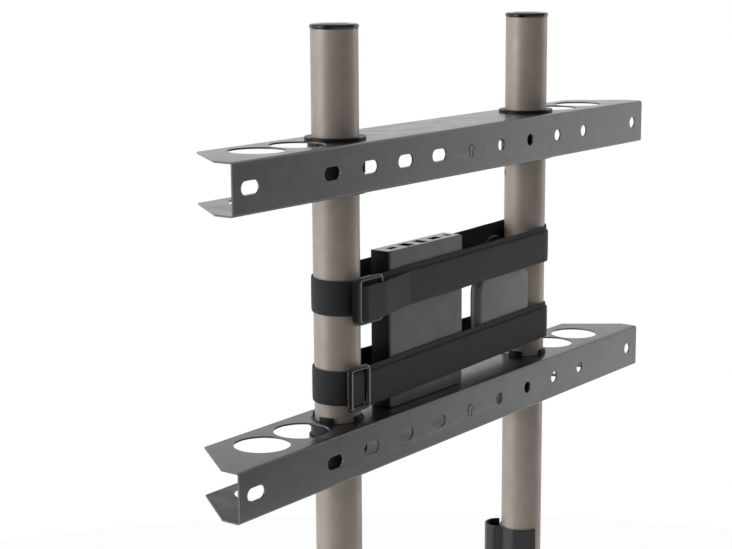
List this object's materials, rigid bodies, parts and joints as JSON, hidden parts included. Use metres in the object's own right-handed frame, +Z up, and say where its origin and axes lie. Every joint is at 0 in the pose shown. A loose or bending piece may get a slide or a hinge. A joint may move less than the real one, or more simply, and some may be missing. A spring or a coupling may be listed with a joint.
{
  "type": "tv stand with mount",
  "caption": "Rolling floor stand for a screen: two round posts on an H base with casters, two sliding slotted rails, straps for small devices and a lead clip.",
  "frame": {"origin": "on the floor, midway between the two posts, at the middle of the base", "axes": "+X along the rails to the right as seen from the screen side, +Y away from the screen, +Z up"},
  "size_m": [0.656, 0.606, 1.497],
  "materials": {
    "post_paint": "satin champagne paint",
    "rail_paint": "satin dark grey powder coat",
    "base_paint": "satin black powder coat",
    "gloss_black": "gloss",
    "matt_black": "fine texture",
    "webbing": "woven",
    "device_shell": "satin",
    "device_face": "satin",
    "bright_steel": "zinc plated",
    "wheel_rubber": "satin"
  },
  "bodies": {
    "root": {"post_left": "post_paint", "post_right": "post_paint", "post_cap_left": "gloss_black", "post_cap_right": "gloss_black", "media_box_casing": "device_shell", "media_box_sockets": "device_shell", "media_box_front": "device_face", "receiver_casing": "device_shell", "receiver_front": "device_face", "crossbeam": "base_paint", "crossbeam_end_caps": "matt_black", "leg_left": "base_paint", "leg_right": "base_paint", "leg_end_caps": "matt_black", "post_socket_left": "base_paint", "post_socket_right": "base_paint", "socket_bolts": "bright_steel", "leg_bolts": "bright_steel", "socket_set_screws": "bright_steel", "caster_plates": "bright_steel"},
    "upper_rail": {"upper_rail": "rail_paint", "upper_rail_bush_left_top": "gloss_black", "upper_rail_bush_left_bottom": "gloss_black", "upper_rail_bush_right_top": "gloss_black", "upper_rail_bush_right_bottom": "gloss_black", "upper_rail_collar_left": "gloss_black", "upper_rail_collar_right": "gloss_black", "upper_rail_set_screws": "bright_steel"},
    "lower_rail": {"lower_rail": "rail_paint", "lower_rail_bush_left_top": "gloss_black", "lower_rail_bush_left_bottom": "gloss_black", "lower_rail_bush_right_top": "gloss_black", "lower_rail_bush_right_bottom": "gloss_black", "lower_rail_collar_left": "gloss_black", "lower_rail_collar_right": "gloss_black", "lower_rail_set_screws": "bright_steel"},
    "upper_strap": {"strap_upper": "webbing", "buckle_upper": "gloss_black"},
    "lower_strap": {"strap_lower": "webbing", "buckle_lower": "gloss_black"},
    "cable_clip": {"cable_clip": "gloss_black"},
    "caster_front_left": {"caster_front_left_fork": "bright_steel", "caster_front_left_pins": "bright_steel"},
    "wheel_front_left": {"caster_front_left_wheel": "wheel_rubber"},
    "brake_pedal_front_left": {"caster_front_left_pedal": "matt_black"},
    "caster_front_right": {"caster_front_right_fork": "bright_steel", "caster_front_right_pins": "bright_steel"},
    "wheel_front_right": {"caster_front_right_wheel": "wheel_rubber"},
    "brake_pedal_front_right": {"caster_front_right_pedal": "matt_black"},
    "caster_back_left": {"caster_back_left_fork": "bright_steel", "caster_back_left_pins": "bright_steel"},
    "wheel_back_left": {"caster_back_left_wheel": "wheel_rubber"},
    "brake_pedal_back_left": {"caster_back_left_pedal": "matt_black"},
    "caster_back_right": {"caster_back_right_fork": "bright_steel", "caster_back_right_pins": "bright_steel"},
    "wheel_back_right": {"caster_back_right_wheel": "wheel_rubber"},
    "brake_pedal_back_right": {"caster_back_right_pedal": "matt_black"}
  },
  "joints": [
    {"name": "upper_rail_slide", "type": "slide", "parent": "root", "child": "upper_rail", "axis": [0, 0, 1], "range_m": [-0.05, 0.08]},
    {"name": "lower_rail_slide", "type": "slide", "parent": "root", "child": "lower_rail", "axis": [0, 0, 1], "range_m": [-0.1, 0]},
    {"name": "upper_strap_slide", "type": "slide", "parent": "root", "child": "upper_strap", "axis": [0, 0, 1], "range_m": [-0.016, 0.018]},
    {"name": "lower_strap_slide", "type": "slide", "parent": "root", "child": "lower_strap", "axis": [0, 0, 1], "range_m": [-0.003, 0.016]},
    {"name": "cable_clip_slide", "type": "slide", "parent": "root", "child": "cable_clip", "axis": [0, 0, 1], "range_m": [-0.717, 0.03]},
    {"name": "swivel_front_left", "type": "hinge", "parent": "root", "child": "caster_front_left", "pos_m": [-0.3, -0.234, 0.0676], "axis": [0, 0, 1], "continuous": true},
    {"name": "wheel_spin_front_left", "type": "hinge", "parent": "caster_front_left", "child": "wheel_front_left", "pos_m": [-0.3, -0.212, 0.03], "axis": [1, 0, 0], "continuous": true},
    {"name": "brake_front_left", "type": "hinge", "parent": "caster_front_left", "child": "brake_pedal_front_left", "pos_m": [-0.3, -0.19004, 0.05712], "axis": [1, 0, 0], "range_deg": [-22, 0]},
    {"name": "swivel_front_right", "type": "hinge", "parent": "root", "child": "caster_front_right", "pos_m": [0.3, -0.234, 0.0676], "axis": [0, 0, 1], "continuous": true},
    {"name": "wheel_spin_front_right", "type": "hinge", "parent": "caster_front_right", "child": "wheel_front_right", "pos_m": [0.3, -0.212, 0.03], "axis": [1, 0, 0], "continuous": true},
    {"name": "brake_front_right", "type": "hinge", "parent": "caster_front_right", "child": "brake_pedal_front_right", "pos_m": [0.3, -0.19004, 0.05712], "axis": [1, 0, 0], "range_deg": [-22, 0]},
    {"name": "swivel_back_left", "type": "hinge", "parent": "root", "child": "caster_back_left", "pos_m": [-0.3, 0.234, 0.0676], "axis": [0, 0, 1], "continuous": true},
    {"name": "wheel_spin_back_left", "type": "hinge", "parent": "caster_back_left", "child": "wheel_back_left", "pos_m": [-0.3, 0.256, 0.03], "axis": [1, 0, 0], "continuous": true},
    {"name": "brake_back_left", "type": "hinge", "parent": "caster_back_left", "child": "brake_pedal_back_left", "pos_m": [-0.3, 0.27796, 0.05712], "axis": [1, 0, 0], "range_deg": [-22, 0]},
    {"name": "swivel_back_right", "type": "hinge", "parent": "root", "child": "caster_back_right", "pos_m": [0.3, 0.234, 0.0676], "axis": [0, 0, 1], "continuous": true},
    {"name": "wheel_spin_back_right", "type": "hinge", "parent": "caster_back_right", "child": "wheel_back_right", "pos_m": [0.3, 0.256, 0.03], "axis": [1, 0, 0], "continuous": true},
    {"name": "brake_back_right", "type": "hinge", "parent": "caster_back_right", "child": "brake_pedal_back_right", "pos_m": [0.3, 0.27796, 0.05712], "axis": [1, 0, 0], "range_deg": [-22, 0]}
  ]
}
